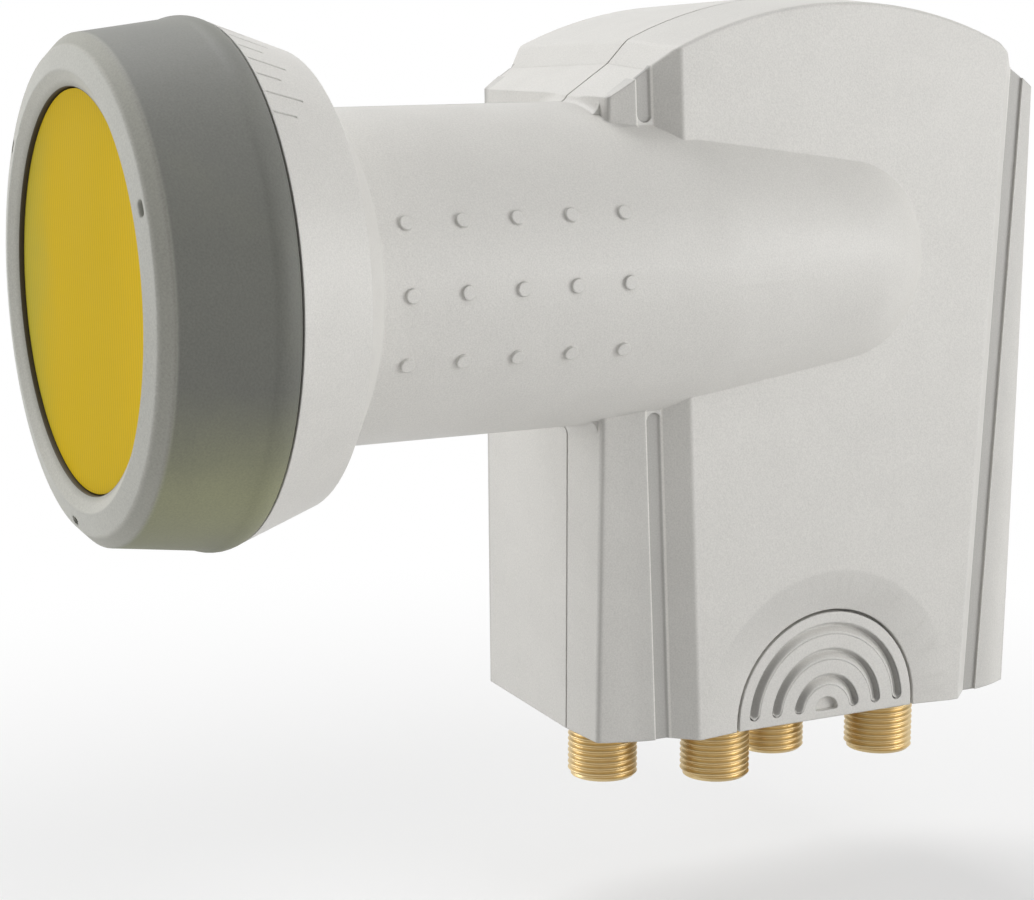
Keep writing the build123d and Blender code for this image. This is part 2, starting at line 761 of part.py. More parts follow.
def lid_frame():
    """Rim shared by the lid and its gasket, with an eye round each screw. Call it inside a sketch."""
    with Locations((y_middle, (tray_top + z_board_low) / 2)):
        Rectangle(tray_length - 2 * cover_gap, tray_top - z_board_low)
        Rectangle(
            tray_length - 2 * cover_gap - 2 * cover_rim,
            tray_top - z_board_low - 2 * cover_rim,
            mode=Mode.SUBTRACT,
        )
    with Locations(*screw_places):
        Circle(screw_boss_diameter / 2)
        Circle(screw_diameter / 2 + socket_fit, mode=Mode.SUBTRACT)


with BuildPart() as cover_gasket:
    with BuildSketch(Plane.YZ.offset(x_cover_face)):
        lid_frame()
    extrude(amount=gasket_thickness)
cover_gasket.part.label = "cover_gasket"
export_step(cover_gasket.part, "parts/cover_gasket.step")

with BuildPart() as chassis_cover:
    with BuildSketch(Plane.YZ.offset(x_cover_face)):
        lid_frame()
    extrude(amount=-cover_height)
    with BuildSketch(Plane.YZ.offset(x_cover_outside)):
        with Locations((y_middle, (tray_top + z_board_low) / 2)):
            Rectangle(tray_length - 2 * cover_gap, tray_top - z_board_low)
        with Locations(*screw_places):
            Circle(screw_diameter / 2 + socket_fit, mode=Mode.SUBTRACT)
    extrude(amount=cover_wall)
chassis_cover.part.label = "chassis_cover"
export_step(chassis_cover.part, "parts/chassis_cover.step")

with BuildPart() as board_chips:
    with BuildSketch(Plane.YZ.offset(board_plane - board_thickness)):
        with Locations((y_middle, (tray_top + z_board_low) / 2)):
            with GridLocations(chip_pitch, chip_pitch, chip_columns, chip_rows):
                Rectangle(chip_size, chip_size)
    extrude(amount=-chip_height)
board_chips.part.label = "board_chips"
export_step(board_chips.part, "parts/board_chips.step")

with BuildPart() as cover_screws:
    with Locations(*[across(y, z, x_cover_outside) for y, z in screw_places]):
        Cylinder(screw_head_diameter / 2, screw_head_height, align=(Align.CENTER, Align.CENTER, Align.MIN))
        Cylinder(screw_diameter / 2, board_plane + screw_grip - x_cover_outside, align=beyond)
cover_screws.part.label = "cover_screws"
export_step(cover_screws.part, "parts/cover_screws.step")

with BuildPart() as probe_horizontal:
    with Locations(across(y_probe_flat, 0, board_plane - board_thickness)):
        Cylinder(probe_diameter / 2, board_thickness - board_plane - bore_radius + probe_reach, align=beyond)
probe_horizontal.part.label = "probe_horizontal"
export_step(probe_horizontal.part, "parts/probe_horizontal.step")

with BuildPart() as probe_vertical:
    with Locations(across(y_probe_upright, z_upright_leg, board_plane - board_thickness)):
        Cylinder(probe_diameter / 2, board_thickness - board_plane + probe_diameter / 2, align=beyond)
    with Locations((0, y_probe_upright, z_upright_leg)):
        Cylinder(probe_diameter / 2, z_upright_leg - bore_radius + probe_reach, align=beyond)
probe_vertical.part.label = "probe_vertical"
export_step(probe_vertical.part, "parts/probe_vertical.step")

with BuildPart() as probe_bushes:
    with Locations(across(y_probe_flat, 0, board_plane)):
        bush_length = -board_plane - bore_radius
        Cylinder(bush_diameter / 2 - socket_fit, bush_length, align=beyond)
        Cylinder(probe_diameter / 2 + socket_fit, bush_length, align=beyond, mode=Mode.SUBTRACT)
    with Locations(across(y_probe_upright, z_upright_leg, board_plane)):
        Cylinder(bush_diameter / 2 - socket_fit, tray_wall, align=beyond)
        Cylinder(probe_diameter / 2 + socket_fit, tray_wall, align=beyond, mode=Mode.SUBTRACT)
    with Locations((0, y_probe_upright, tube_radius)):
        Cylinder(bush_diameter / 2 - socket_fit, tube_wall, align=beyond)
        Cylinder(probe_diameter / 2 + socket_fit, tube_wall, align=beyond, mode=Mode.SUBTRACT)
probe_bushes.part.label = "probe_bushes"
export_step(probe_bushes.part, "parts/probe_bushes.step")

with BuildPart() as connector_seals:
    with BuildSketch(Plane.XY.offset(z_tray_bottom - seal_thickness)):
        with Locations(*socket_places):
            Circle(socket_flange_flats / 2)
            Circle(socket_spigot_diameter / 2 + socket_fit, mode=Mode.SUBTRACT)
    extrude(amount=seal_thickness)
connector_seals.part.label = "connector_seals"
export_step(connector_seals.part, "parts/connector_seals.step")


def socket_body(place):
    """One F socket: threaded barrel, hexagon flange and the spigot that sits in the casting."""
    z_seat = z_tray_bottom - seal_thickness
    z_flange = z_seat - socket_flange_height
    with BuildPart() as body:
        with BuildSketch(Plane.XY.offset(z_socket_tip)):
            with Locations(place):
                Circle(socket_thread_diameter / 2)
        extrude(amount=z_flange - socket_relief - z_socket_tip)
        chamfer(body.faces().sort_by(Axis.Z)[0].edges(), socket_tip_chamfer)
        with BuildSketch(Plane.XY.offset(z_flange - socket_relief)):
            with Locations(place):
                Circle(socket_spigot_diameter / 2)
        extrude(amount=socket_relief)
        with BuildSketch(Plane.XY.offset(z_flange)):
            with Locations(place):
                RegularPolygon(socket_flange_flats / 2, 6, major_radius=False)
        extrude(amount=socket_flange_height)
        with BuildSketch(Plane.XY.offset(z_seat)):
            with Locations(place):
                Circle(socket_spigot_diameter / 2)
        extrude(amount=z_floor_top - z_seat)
        with BuildSketch(Plane.XY.offset(z_socket_tip)):
            with Locations(place):
                Circle(socket_bore_diameter / 2)
        extrude(amount=z_floor_top - z_socket_tip, mode=Mode.SUBTRACT)
    return body.part


def socket_core(place):
    """Insulator of one F socket."""
    z_core = z_socket_tip + insulator_recess
    with BuildPart() as core:
        with BuildSketch(Plane.XY.offset(z_core)):
            with Locations(place):
                Circle(socket_bore_diameter / 2 - socket_fit)
                Circle(contact_diameter / 2 + socket_fit, mode=Mode.SUBTRACT)
        extrude(amount=z_floor_top - z_core)
    return core.part


def socket_contact(place):
    """Centre contact of one F socket, up through its core and over to the board."""
    z_contact = z_socket_tip + insulator_recess + contact_recess
    z_bend = z_floor_top + contact_top
    with BuildPart() as contact:
        with Locations((*place, z_bend)):
            Cylinder(contact_diameter / 2, z_bend - z_contact, align=beyond)
        with Locations(across(place[1], z_bend, board_plane)):
            Cylinder(contact_diameter / 2, place[0] - board_plane + contact_diameter / 2, align=beyond)
    return contact.part


with BuildPart() as connector_1:
    add(socket_body(socket_places[0]))
connector_1.part.label = "connector_1"
export_step(connector_1.part, "parts/connector_1.step")

with BuildPart() as insulator_1:
    add(socket_core(socket_places[0]))
insulator_1.part.label = "insulator_1"
export_step(insulator_1.part, "parts/insulator_1.step")

with BuildPart() as contact_1:
    add(socket_contact(socket_places[0]))
contact_1.part.label = "contact_1"
export_step(contact_1.part, "parts/contact_1.step")

with BuildPart() as connector_2:
    add(socket_body(socket_places[1]))
connector_2.part.label = "connector_2"
export_step(connector_2.part, "parts/connector_2.step")

with BuildPart() as insulator_2:
    add(socket_core(socket_places[1]))
insulator_2.part.label = "insulator_2"
export_step(insulator_2.part, "parts/insulator_2.step")

with BuildPart() as contact_2:
    add(socket_contact(socket_places[1]))
contact_2.part.label = "contact_2"
export_step(contact_2.part, "parts/contact_2.step")

with BuildPart() as connector_3:
    add(socket_body(socket_places[2]))
connector_3.part.label = "connector_3"
export_step(connector_3.part, "parts/connector_3.step")

with BuildPart() as insulator_3:
    add(socket_core(socket_places[2]))
insulator_3.part.label = "insulator_3"
export_step(insulator_3.part, "parts/insulator_3.step")

with BuildPart() as contact_3:
    add(socket_contact(socket_places[2]))
contact_3.part.label = "contact_3"
export_step(contact_3.part, "parts/contact_3.step")

with BuildPart() as connector_4:
    add(socket_body(socket_places[3]))
connector_4.part.label = "connector_4"
export_step(connector_4.part, "parts/connector_4.step")

with BuildPart() as insulator_4:
    add(socket_core(socket_places[3]))
insulator_4.part.label = "insulator_4"
export_step(insulator_4.part, "parts/insulator_4.step")

with BuildPart() as contact_4:
    add(socket_contact(socket_places[3]))
contact_4.part.label = "contact_4"
export_step(contact_4.part, "parts/contact_4.step")
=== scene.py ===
# %% [markdown]
# # Dressing a satellite receiver head
# The real object is a moulded grey housing with a capped horn, a round neck, and four gold cable sockets.
# The solids are already exact, so this lesson keeps their places and sizes and gives each surface its own
# finish. Only what the solids leave plain is built here: the threads of the sockets and the scooped grooves
# of the thumb grips.

# %% Load the fixed frame
import json
import math

import bmesh
import bpy
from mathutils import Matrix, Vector

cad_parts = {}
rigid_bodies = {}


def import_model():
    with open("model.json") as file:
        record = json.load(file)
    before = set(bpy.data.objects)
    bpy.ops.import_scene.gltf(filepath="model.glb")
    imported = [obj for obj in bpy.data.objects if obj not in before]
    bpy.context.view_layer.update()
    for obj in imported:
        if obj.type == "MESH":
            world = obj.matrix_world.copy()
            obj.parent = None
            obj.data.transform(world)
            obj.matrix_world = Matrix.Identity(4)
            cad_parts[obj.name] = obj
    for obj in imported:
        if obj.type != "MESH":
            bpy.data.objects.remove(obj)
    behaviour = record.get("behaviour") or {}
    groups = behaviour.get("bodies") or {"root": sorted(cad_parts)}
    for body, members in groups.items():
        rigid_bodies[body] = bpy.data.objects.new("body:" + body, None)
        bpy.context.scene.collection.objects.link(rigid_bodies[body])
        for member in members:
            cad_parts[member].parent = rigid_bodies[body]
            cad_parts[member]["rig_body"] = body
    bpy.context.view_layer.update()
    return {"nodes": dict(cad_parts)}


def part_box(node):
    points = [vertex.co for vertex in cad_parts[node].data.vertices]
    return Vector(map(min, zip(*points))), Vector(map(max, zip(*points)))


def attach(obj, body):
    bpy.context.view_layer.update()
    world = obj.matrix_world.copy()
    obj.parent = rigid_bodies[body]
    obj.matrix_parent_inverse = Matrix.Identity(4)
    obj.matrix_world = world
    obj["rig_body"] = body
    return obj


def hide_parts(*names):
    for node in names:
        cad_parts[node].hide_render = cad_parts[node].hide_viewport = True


MM = 0.001
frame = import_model()
nodes = frame["nodes"]

# %% [markdown]
# ## The camera
# The camera was fitted to the edges of the neck, cap and housing, which fixed its place, its turn and its
# lens together. A long lens stands well back, so the round cap looks like a clean ellipse.

# %% Set the camera
CAMERA_PLACE = Vector((269.622, -130.147, 34.655)) * MM
CAMERA_YAW = 0.479
CAMERA_PITCH = 0.187
FOCAL_PIXELS = 2486.652
IMAGE_WIDTH = 1034

look = Vector((
    -math.cos(CAMERA_YAW) * math.cos(CAMERA_PITCH),
    math.sin(CAMERA_YAW) * math.cos(CAMERA_PITCH),
    -math.sin(CAMERA_PITCH),
))
lens = bpy.data.cameras.new("photo_camera")
lens.sensor_fit = "HORIZONTAL"
lens.sensor_width = 36
lens.lens = lens.sensor_width * FOCAL_PIXELS / IMAGE_WIDTH
lens.clip_start = 0.01
camera = bpy.data.objects.new("photo_camera", lens)
camera.location = CAMERA_PLACE
camera.rotation_euler = look.to_track_quat("-Z", "Y").to_euler()
bpy.context.collection.objects.link(camera)
scene = bpy.context.scene
scene.camera = camera
print("lens:", round(lens.lens, 2), "mm")

# %% [markdown]
# ## Writing node trees as sums
# Node trees are easier to read as Python. A Wire is one output of a node, and adding or multiplying wires
# places a Math node. A Desk writes on any tree: its node method places every other kind of node, with the
# settings first and then the sockets. The same desk serves materials, the world and Geometry Nodes.

# %% A wire and a desk


class Wire:
    """One output socket, which can be used in a sum."""

    def __init__(self, desk, socket):
        self.desk = desk
        self.socket = socket

    def math(self, operation, *others):
        """Math node on this wire, with the others after it."""
        return self.desk.work_out(operation, self, *others)

    def __add__(self, other):
        return self.desk.work_out("ADD", self, other)

    def __radd__(self, other):
        return self.desk.work_out("ADD", other, self)

    def __sub__(self, other):
        return self.desk.work_out("SUBTRACT", self, other)

    def __rsub__(self, other):
        return self.desk.work_out("SUBTRACT", other, self)

    def __mul__(self, other):
        return self.desk.work_out("MULTIPLY", self, other)

    def __rmul__(self, other):
        return self.desk.work_out("MULTIPLY", other, self)

    def __truediv__(self, other):
        return self.desk.work_out("DIVIDE", self, other)

    def __rtruediv__(self, other):
        return self.desk.work_out("DIVIDE", other, self)

    def __mod__(self, other):
        return self.desk.work_out("FLOORED_MODULO", self, other)

    def __rmod__(self, other):
        return self.desk.work_out("FLOORED_MODULO", other, self)


class Desk:
    """Writes nodes on one tree."""

    def __init__(self, tree):
        self.tree = tree

    def put(self, socket, value):
        if isinstance(value, Wire):
            self.tree.links.new(value.socket, socket)
        else:
            socket.default_value = value

    def node(self, kind, settings=None, sockets=None, output=None):
        """Places a node, and gives one output, or one for each name when output is a tuple."""
        made = self.tree.nodes.new(kind)
        for name, value in (settings or {}).items():
            setattr(made, name, value)
        for key, value in (sockets or {}).items():
            named = [s for s in made.inputs if s.enabled and s.name == key]
            self.put(made.inputs[key] if isinstance(key, int) else named[0], value)
        shown = [s for s in made.outputs if s.enabled]
        if isinstance(output, tuple):
            return [Wire(self, s) for name in output for s in shown if s.name == name]
        return Wire(self, [s for s in shown if output in (None, s.name)][0])

    def work_out(self, operation, *values):
        return self.node("ShaderNodeMath", {"operation": operation}, dict(enumerate(values)))

    def vector(self, operation, first, second, output="Vector"):
        return self.node("ShaderNodeVectorMath", {"operation": operation}, {0: first, 1: second}, output)

    def axes(self, vector):
        return self.node("ShaderNodeSeparateXYZ", sockets={"Vector": vector}, output=("X", "Y", "Z"))

    def step(self, value, low, high):
        """Rises smoothly from 0 to 1 while the value goes from low to high."""
        reach = {"Value": value, "From Min": low, "From Max": high}
        return self.node("ShaderNodeMapRange", {"interpolation_type": "SMOOTHSTEP"}, reach, "Result")

    def seen(self):
        """1 where the camera looks, straight or in a mirror or through glass."""
        straight, mirrored, through = self.node(
            "ShaderNodeLightPath", output=("Is Camera Ray", "Is Glossy Ray", "Is Transmission Ray")
        )
        return straight.math("MAXIMUM", mirrored.math("MAXIMUM", through))


print("operators:", [name for name in vars(Wire) if name.startswith("__r")])

# %% [markdown]
# A Finish is one material with a Principled shader. Its patterns read Object coordinates, so they lie in the
# same place on the piece wherever it moves.

# %% A finish
EDGE_SAMPLES = 6


def shade(colour):
    """Colour with alpha from three linear values."""
    return (*colour, 1)


def times(colour, factor):
    """Darker or lighter colour."""
    return [factor * value for value in colour]


def swing(first, first_share, second, second_share):
    """Two cloudy values as one that swings round 0."""
    return (first - 0.5) * first_share + (second - 0.5) * second_share


class Finish(Desk):
    """One material, with its Principled shader ready to be fed."""

    def __init__(self, name, colour, roughness, metallic=0.0):
        self.material = bpy.data.materials.new(name)
        self.material.use_nodes = True
        super().__init__(self.material.node_tree)
        self.tree.nodes.clear()
        self.shader = self.tree.nodes.new("ShaderNodeBsdfPrincipled")
        self.output = self.tree.nodes.new("ShaderNodeOutputMaterial")
        self.show(Wire(self, self.shader.outputs["BSDF"]))
        self.feed(**{"Base Color": shade(colour), "Roughness": roughness, "Metallic": metallic})

    def show(self, surface):
        self.put(self.output.inputs["Surface"], surface)

    def feed(self, **sockets):
        for name, value in sockets.items():
            self.put(self.shader.inputs[name], value)

    def place(self):
        """Position on the piece, in metres."""
        return self.node("ShaderNodeTexCoord", output="Object")

    def noise(self, scale, detail=2.0, where=None):
        """Cloudy value round 0.5, with the given number of blobs per metre."""
        spots = {"Vector": where or self.place(), "Scale": scale, "Detail": detail}
        return self.node("ShaderNodeTexNoise", sockets=spots, output="Fac")

    def blend(self, factor, first, second):
        """Colour between two colours."""
        colours = [c if isinstance(c, Wire) else shade(c) for c in (first, second)]
        sockets = {"Factor": factor, "A": colours[0], "B": colours[1]}
        return self.node("ShaderNodeMix", {"data_type": "RGBA"}, sockets, "Result")

    def tone(self, colour, value):
        """Colour made darker or lighter from place to place."""
        return self.node("ShaderNodeHueSaturation", sockets={"Color": colour, "Value": value})

    def relief(self, height, depth, strength=1.0, edge=0.0):
        """Small bumps, and with an edge radius also a softened look along sharp edges."""
        sockets = {"Height": height, "Distance": depth, "Strength": strength}
        if edge:
            sockets["Normal"] = self.node("ShaderNodeBevel", {"samples": EDGE_SAMPLES}, {"Radius": edge})
        self.feed(Normal=self.node("ShaderNodeBump", sockets=sockets))


print("finish sockets are fed by name")

# %% [markdown]
# ## Light and floor
# The photo is lit from the left and from the right, and softly from above, with little light from the
# camera's own side. So edges that face the camera go dark and the broad faces stay pale. Large area lamps do
# the same. The world is white only where it is seen, and gives the object a little light from all round.

# %% Light the object
LAMPS = {
    "right_box": {"at": (0.60, 0.62, 0.05), "power": 4.3},
    "left_box": {"at": (-0.60, -0.70, 0.00), "power": 4.0},
    "top_box": {"at": (-0.45, -0.15, 0.80), "power": 5.2},
    "top_fill": {"at": (0.55, 0.10, 0.70), "power": 1.4},
}
LAMP_SIZE = 0.5
AMBIENT = 0.22
TARGET = Vector((0.0, 0.02, -0.02))

for name, lamp in LAMPS.items():
    light = bpy.data.lights.new(name, "AREA")
    light.shape = "SQUARE"
    light.size = LAMP_SIZE
    light.energy = lamp["power"]
    holder = bpy.data.objects.new(name, light)
    holder.location = lamp["at"]
    holder.rotation_euler = (TARGET - holder.location).to_track_quat("-Z", "Y").to_euler()
    bpy.context.collection.objects.link(holder)

world = bpy.data.worlds.new("studio")
world.use_nodes = True
scene.world = world
sky = Desk(world.node_tree)
sky_level = AMBIENT + (1 - AMBIENT) * sky.seen()
background = world.node_tree.nodes["Background"]
sky.put(background.inputs["Color"], (1, 1, 1, 1))
sky.put(background.inputs["Strength"], sky_level)
scene.view_settings.view_transform = "Standard"
print("lamps:", ", ".join(LAMPS))

# %% [markdown]
# The floor lies below the sleeve's lowest place, because the object hangs on its clamp. Near the object it is
# plain pale paper that takes the shadow. Further out it fades into the white of the world, so no edge of the
# floor crosses the picture.

# %% Lay the floor
FLOOR_HEIGHT = -0.0895
FLOOR_HALF = 4.0
PAPER_NEAR = 0.06
PAPER_FAR = 0.22
PAPER_WHITE = 0.45
PAPER = (0.85, 0.85, 0.85)
PAPER_ROUGHNESS = 0.9

floor_mesh = bpy.data.meshes.new("floor")
corners = [(x * FLOOR_HALF, y * FLOOR_HALF, FLOOR_HEIGHT) for x, y in ((-1, -1), (1, -1), (1, 1), (-1, 1))]
floor_mesh.from_pydata(corners, [], [(0, 1, 2, 3)])
floor = bpy.data.objects.new("floor", floor_mesh)
bpy.context.collection.objects.link(floor)
paper = Finish("pale_floor", PAPER, PAPER_ROUGHNESS)
away = paper.vector("DISTANCE", paper.place(), (TARGET.x, TARGET.y, FLOOR_HEIGHT), "Value")
glow = paper.node("ShaderNodeEmission")
fade = paper.seen() * (PAPER_WHITE + (1 - PAPER_WHITE) * paper.step(away, PAPER_NEAR, PAPER_FAR))
paper_shader = Wire(paper, paper.shader.outputs["BSDF"])
paper.show(paper.node("ShaderNodeMixShader", sockets={0: fade, 1: paper_shader, 2: glow}))
floor_mesh.materials.append(paper.material)
print("floor at", FLOOR_HEIGHT)

# %% [markdown]
# ## Satin grey moulding
# The housing and the sleeve are warm light grey plastic with a fine bright grain, like paint with a little
# pearl in it. Two noises carry it: a fine one for the grain and a slow one for the uneven gloss. The bevel
# node rounds the look of every edge by a fraction of a millimetre, as the mould does.

# %% Mix the satin grey
SHELL_GREY = (0.660, 0.647, 0.615)
SHELL_EDGE = 0.3 * MM
GRAIN_SIZE = 5200
CLOUD_SIZE = 160
GRAIN_DEPTH = 0.04 * MM


def satin_grey(name, tint):
    """Warm grey plastic with a fine grain, as a finish and its colour."""
    finish = Finish(name, tint, 0.45)
    grain = finish.noise(GRAIN_SIZE, 1.0)
    cloud = finish.noise(CLOUD_SIZE, 3.0)
    speck = swing(grain, 0.8, cloud, 0.25) + 0.5
    colour = finish.blend(speck, times(tint, 0.82), times(tint, 1.18))
    finish.feed(**{"Base Color": colour, "Roughness": 0.40 + 0.14 * grain})
    finish.relief(grain, GRAIN_DEPTH, 0.4, edge=SHELL_EDGE)
    return finish, colour


sleeve_finish = satin_grey("satin_grey_sleeve", SHELL_GREY)[0]
print("moulding grey:", SHELL_GREY)

# %% [markdown]
# On the housing, light and shade are painted into the colour. The groove floors beside the raised plates get
# painted shade and their rims a painted highlight. The strip beside each groove gets the painted shadow of
# the plate, and the upright corners and the dish above each thumb grip get painted shade. Each mark is a
# smooth
# step on a distance: from the housing's middle plane, from the groove, from the corner, or from the grip.

# %% Mark the grooves
BODY_X = -8.4 * MM
BODY_Y = 49.25 * MM
BODY_FOOT = -59.8 * MM
GROOVE_FEET = {1: (22.55 * MM, 0.0454), -1: (23.35 * MM, 0.0524)}
GROOVE_WIDTH = 2.1 * MM
FLOOR_BAND = (17.3 * MM, 18.02 * MM)
# Painted shade: how much darker the groove floors are made.
FLOOR_SHADE = 0.33
RIM_BAND = (18.05 * MM, 18.5 * MM)
RIMS = ((-0.14 * MM, 0.10 * MM), (2.02 * MM, 2.26 * MM))
# Painted highlight: how much brighter the groove rims are made.
RIM_HIGHLIGHT = 0.22
STRIP_BAND = (15.9 * MM, 18.4 * MM)
STRIP_START = 2.3 * MM
STRIP_END = 7.5 * MM
# Painted shadow: the raised plate darkens the strip beside each groove.
STRIP_SHADOW = 0.15

shell_finish, shell_colour = satin_grey("satin_grey_shell", SHELL_GREY)
shell_place = shell_finish.place()
shell_x, shell_y, shell_z = shell_finish.axes(shell_place)
out = (shell_x - BODY_X).math("ABSOLUTE")
rise = shell_z - BODY_FOOT


def band(value, ends, soft):
    """1 between the two ends, with soft sides."""
    low, high = ends
    rising = shell_finish.step(value, low - soft, low + soft)
    return rising * (1 - shell_finish.step(value, high - soft, high + soft))


# Painted light and shade of the housing, as a factor on its colour.
shell_light_and_shade = 1
for ahead, (foot, flare) in GROOVE_FEET.items():
    past = (BODY_Y - shell_y) * ahead - rise * flare - foot
    # Painted shade on the groove floors.
    on_floor = band(out, FLOOR_BAND, 0.08 * MM) * band(past, (0, GROOVE_WIDTH), 0.1 * MM)
    # Painted highlight along both rims of each groove.
    on_rim = sum(band(past, rim, 0.05 * MM) for rim in RIMS) * band(out, RIM_BAND, 0.06 * MM)
    # Painted shadow of the plate on the strip, fading away from the groove.
    beside = shell_finish.step(past, GROOVE_WIDTH, STRIP_START)
    fading = 1 - shell_finish.step(past, STRIP_START, STRIP_END)
    on_strip = beside * fading * band(out, STRIP_BAND, 0.15 * MM)
    shell_light_and_shade = shell_light_and_shade - FLOOR_SHADE * on_floor + RIM_HIGHLIGHT * on_rim - STRIP_SHADOW * on_strip
print("grooves marked on each side:", len(GROOVE_FEET))

# %% Paint shade on the corners and the dishes
CORNER_OUT = 15.8 * MM
CORNER_LEAN = 0.0148
CORNER_AHEAD = 32.25 * MM
# Painted shade along the rounded upright corners.
CORNER_SHADE = 0.20
CORNER_REACH = 0.75 * MM
FRONT_FALL = 0.0524
GRIP_Z = -59.0 * MM
DISH_RADIUS = 19.15 * MM
DISH_BAND = (19 * MM, 22 * MM)
# Painted shade on the upper part of the dish round each thumb grip.
DISH_SHADE = 0.09

from_end = (shell_y - BODY_Y).math("ABSOLUTE") + FRONT_FALL * shell_x.math("ABSOLUTE") - CORNER_AHEAD
from_side = out - CORNER_OUT - CORNER_LEAN * rise
corner = (from_end * from_end + from_side * from_side).math("SQRT")
# Painted shade along the upright corners.
shell_light_and_shade = shell_light_and_shade - CORNER_SHADE * (1 - shell_finish.step(corner, 0.15 * MM, CORNER_REACH))
flat_place = shell_finish.vector("MULTIPLY", shell_place, (0, 1, 1))
from_grip = shell_finish.vector("DISTANCE", flat_place, (0, BODY_Y, GRIP_Z), "Value")
in_dish = 1 - shell_finish.step(from_grip, DISH_RADIUS - 0.5 * MM, DISH_RADIUS + 0.2 * MM)
above = shell_finish.step(shell_z, -54 * MM, -44 * MM)
# Painted shade on the dish above each grip, where its slope turns down.
shell_light_and_shade = shell_light_and_shade - DISH_SHADE * in_dish * band(out, DISH_BAND, MM) * above
shell_finish.feed(**{"Base Color": shell_finish.tone(shell_colour, shell_light_and_shade)})
print("corner darkening reaches", CORNER_REACH, "m")

# %% [markdown]
# ## Rubbery grey cap
# The cap is soft matt plastic with its light and shade painted in: a pale lit front ring, a much darker
# shaded side, a painted sheen that lightens the top, and a painted olive reflection low down. Smooth steps on
# the distance behind the front and on the height choose the tone. The bore wall is painted brown-black shade,
# which draws the dark line round the window.

# %% Finish the cap
CAP_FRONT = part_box("cap_ring")[0][1]
# Painted light and shade: the lit face, the half-lit chamfer and the shaded side are one plastic.
CAP_LIT_FACE = (0.515, 0.514, 0.470)
CAP_HALF_LIT_CHAMFER = (0.365, 0.362, 0.320)
# Painted sheen on the top of the cap's side.
CAP_TOP_SHEEN = (0.195, 0.197, 0.180)
CAP_SHADED_SIDE = (0.132, 0.134, 0.117)
# Painted reflection: an olive cast low on the cap's side.
CAP_OLIVE_REFLECTION = (0.250, 0.255, 0.152)
# Painted shade on the wall of the bore.
CAP_BORE_SHADE = (0.050, 0.036, 0.014)
BORE_RADIUS = 23.05 * MM
CHAMFER_START = (0.5 * MM, 1.0 * MM)
SIDE_START = (1.8 * MM, 2.6 * MM)
TOP_START = (6 * MM, 30 * MM)
OLIVE_START = (-6 * MM, -22 * MM)
OLIVE_END = (-22 * MM, -31 * MM)
OLIVE_LOSS = 0.55
CAP_GRAIN_SIZE = 4200
CAP_CLOUD_SIZE = 110
CAP_EDGE = 0.5 * MM

cap_finish = Finish("rubbery_grey_cap", CAP_SHADED_SIDE, 0.6)
cap_place = cap_finish.place()
cap_y, cap_z = cap_finish.axes(cap_place)[1:]
behind = cap_y - CAP_FRONT
around = cap_finish.vector("MULTIPLY", cap_place, (1, 0, 1))
radius = cap_finish.vector("LENGTH", around, (0, 0, 0), "Value")
cap_grain = cap_finish.noise(CAP_GRAIN_SIZE, 1.0)
cap_cloud = cap_finish.noise(CAP_CLOUD_SIZE, 3.0)
# Painted olive reflection low on the side, weaker again towards the bottom.
olive = cap_finish.step(cap_z, *OLIVE_START) - OLIVE_LOSS * cap_finish.step(cap_z, *OLIVE_END)
# Painted sheen lightens the top of the side.
side = cap_finish.blend(cap_finish.step(cap_z, *TOP_START), CAP_SHADED_SIDE, CAP_TOP_SHEEN)
side = cap_finish.blend(olive + (cap_cloud - 0.5) * 0.3, side, CAP_OLIVE_REFLECTION)
# Painted light on the front ring, through the half-lit chamfer, into the painted shade of the side.
front = cap_finish.blend(cap_finish.step(behind, *CHAMFER_START), CAP_LIT_FACE, CAP_HALF_LIT_CHAMFER)
outer = cap_finish.blend(cap_finish.step(behind, *SIDE_START), front, side)
# Painted shade on the bore wall round the window.
plain = cap_finish.blend(cap_finish.step(radius, BORE_RADIUS, BORE_RADIUS + 0.06 * MM), CAP_BORE_SHADE, outer)
speckled = cap_finish.tone(plain, 1 + 0.55 * swing(cap_grain, 0.7, cap_cloud, 0.25))
cap_finish.feed(**{"Base Color": speckled, "Roughness": 0.52 + 0.14 * cap_grain})
cap_finish.relief(cap_grain, GRAIN_DEPTH, 0.4, edge=CAP_EDGE)
print("cap front at", round(CAP_FRONT, 4))

# %% [markdown]
# ## Mustard window
# The window is thin yellow plastic with very fine upright lines left by its tool. Its colour holds painted
# shade, greener towards the far edge, and painted light, more orange towards the near one.

# %% Finish the window
# Painted shade on the far side of the window.
WINDOW_GREEN_SHADE = (0.510, 0.430, 0.040)
WINDOW_GOLD = (0.690, 0.472, 0.004)
# Painted light on the near side of the window.
WINDOW_ORANGE_LIGHT = (0.755, 0.508, 0.008)
WINDOW_GLOSS = 0.03
WINDOW_CLOUD_SIZE = 120
GREEN_START = (-8 * MM, -24 * MM)
ORANGE_START = (6 * MM, 24 * MM)
LINES_PER_METRE = 1300
LINE_LEAN = 0.06
LINE_WANDER = 0.12 * MM
LINE_DEPTH = 0.02 * MM

window_finish = Finish("mustard_window", WINDOW_GOLD, 0.5)
window_finish.feed(**{"Specular IOR Level": WINDOW_GLOSS})
window_x, window_z = window_finish.axes(window_finish.place())[::2]
window_cloud = window_finish.noise(WINDOW_CLOUD_SIZE, 3.0)
wander = (window_x + LINE_LEAN * window_z + LINE_WANDER * window_cloud) * (LINES_PER_METRE * math.tau)
lines = 0.5 + 0.5 * wander.math("SINE")
drifted = window_x + (window_cloud - 0.5) * 6 * MM
